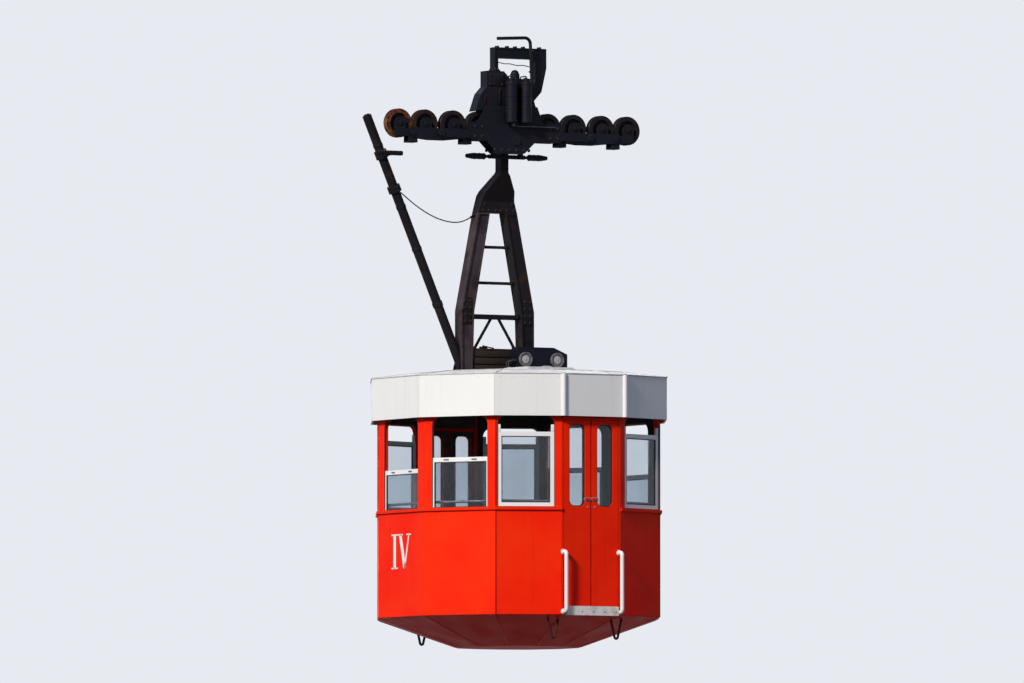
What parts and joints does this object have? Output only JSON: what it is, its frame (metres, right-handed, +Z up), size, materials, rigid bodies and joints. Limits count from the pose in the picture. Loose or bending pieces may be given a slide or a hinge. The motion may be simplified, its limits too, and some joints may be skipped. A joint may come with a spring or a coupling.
{
  "type": "cable car cabin with hanger and carriage",
  "caption": "Twelve-sided red and white passenger cabin that hangs by an A-shaped hanger from a wheeled carriage on a track rope.",
  "frame": {"origin": "on the axis of the track rope, midway along the carriage", "axes": "+X along the rope, +Y across it towards the hanger, +Z up; the pictured doors are on the -Y side"},
  "size_m": [2.8781, 2.966, 5.9201],
  "materials": {
    "red_paint": "gloss, sun-bleached",
    "white_paint": "gloss",
    "carriage_paint": "greasy, worn",
    "hanger_paint": "worn, rusting",
    "wheel_steel": "rusting, polished groove",
    "window_glass": "clear",
    "threshold_plate": "scuffed",
    "floor_board": "worn",
    "box_paint": "satin",
    "cover_metal": "dull",
    "cable_sheath": "dull"
  },
  "bodies": {
    "carriage": {"carriage_frame": "carriage_paint", "rocker_beams": "carriage_paint", "bogies": "carriage_paint", "bogie_pins": "carriage_paint", "rope_keepers": "carriage_paint", "brake_housing": "carriage_paint", "brake_jaws": "carriage_paint", "brake_cylinders": "carriage_paint", "lifting_frame": "carriage_paint", "guard_pipe": "carriage_paint", "haul_anchor": "carriage_paint", "haul_sockets": "carriage_paint", "hanger_pin": "carriage_paint"},
    "cabin": {"base_plate": "hanger_paint", "box_covers": "cover_metal", "cable_clips": "hanger_paint", "contact_pole": "hanger_paint", "contact_shoe": "hanger_paint", "corner_strips": "white_paint", "door_frames": "red_paint", "end_walls": "red_paint", "equipment_box": "box_paint", "fascia_panels": "white_paint", "floor": "floor_board", "foot_beam": "hanger_paint", "foot_braces": "hanger_paint", "grab_bars": "white_paint", "hanger_head": "hanger_paint", "hanger_legs": "hanger_paint", "hanger_rungs": "hanger_paint", "quarter_walls": "red_paint", "roof": "white_paint", "roof_hatch": "white_paint", "shoulder_walls": "red_paint", "signal_cable": "cable_sheath", "thresholds": "threshold_plate", "underside": "red_paint", "v_feet": "red_paint", "waist_bead": "red_paint", "window_panes": "window_glass", "window_sashes": "white_paint"},
    "wheel_1": {"wheel_1": "wheel_steel"},
    "wheel_2": {"wheel_2": "wheel_steel"},
    "wheel_3": {"wheel_3": "wheel_steel"},
    "wheel_4": {"wheel_4": "wheel_steel"},
    "wheel_5": {"wheel_5": "wheel_steel"},
    "wheel_6": {"wheel_6": "wheel_steel"},
    "wheel_7": {"wheel_7": "wheel_steel"},
    "wheel_8": {"wheel_8": "wheel_steel"},
    "near_left_door": {"near_left_door_leaf": "red_paint", "near_left_door_pane": "window_glass"},
    "near_right_door": {"near_right_door_leaf": "red_paint", "near_right_door_pane": "window_glass"},
    "far_left_door": {"far_left_door_leaf": "red_paint", "far_left_door_pane": "window_glass"},
    "far_right_door": {"far_right_door_leaf": "red_paint", "far_right_door_pane": "window_glass"}
  },
  "joints": [
    {"name": "hanger_swing", "type": "hinge", "parent": "carriage", "child": "cabin", "pos_m": [0, 0.197, 0], "axis": [0, 1, 0], "range_deg": [-20, 20]},
    {"name": "wheel_1_spin", "type": "hinge", "parent": "carriage", "child": "wheel_1", "pos_m": [-1.273, 0, 0.134], "axis": [0, 1, 0], "continuous": true},
    {"name": "wheel_2_spin", "type": "hinge", "parent": "carriage", "child": "wheel_2", "pos_m": [-0.985, 0, 0.134], "axis": [0, 1, 0], "continuous": true},
    {"name": "wheel_3_spin", "type": "hinge", "parent": "carriage", "child": "wheel_3", "pos_m": [-0.672, 0, 0.134], "axis": [0, 1, 0], "continuous": true},
    {"name": "wheel_4_spin", "type": "hinge", "parent": "carriage", "child": "wheel_4", "pos_m": [-0.385, 0, 0.134], "axis": [0, 1, 0], "continuous": true},
    {"name": "wheel_5_spin", "type": "hinge", "parent": "carriage", "child": "wheel_5", "pos_m": [0.385, 0, 0.134], "axis": [0, 1, 0], "continuous": true},
    {"name": "wheel_6_spin", "type": "hinge", "parent": "carriage", "child": "wheel_6", "pos_m": [0.672, 0, 0.134], "axis": [0, 1, 0], "continuous": true},
    {"name": "wheel_7_spin", "type": "hinge", "parent": "carriage", "child": "wheel_7", "pos_m": [0.985, 0, 0.134], "axis": [0, 1, 0], "continuous": true},
    {"name": "wheel_8_spin", "type": "hinge", "parent": "carriage", "child": "wheel_8", "pos_m": [1.273, 0, 0.134], "axis": [0, 1, 0], "continuous": true},
    {"name": "near_left_door_hinge", "type": "hinge", "parent": "cabin", "child": "near_left_door", "pos_m": [-0.30275, -1.462, -3.65], "axis": [0, 0, 1], "range_deg": [0, 90]},
    {"name": "near_right_door_hinge", "type": "hinge", "parent": "cabin", "child": "near_right_door", "pos_m": [0.30275, -1.462, -3.65], "axis": [0, 0, -1], "range_deg": [0, 90]},
    {"name": "far_left_door_hinge", "type": "hinge", "parent": "cabin", "child": "far_left_door", "pos_m": [-0.30275, 1.222, -3.65], "axis": [0, 0, -1], "range_deg": [0, 90]},
    {"name": "far_right_door_hinge", "type": "hinge", "parent": "cabin", "child": "far_right_door", "pos_m": [0.30275, 1.222, -3.65], "axis": [0, 0, 1], "range_deg": [0, 90]}
  ]
}
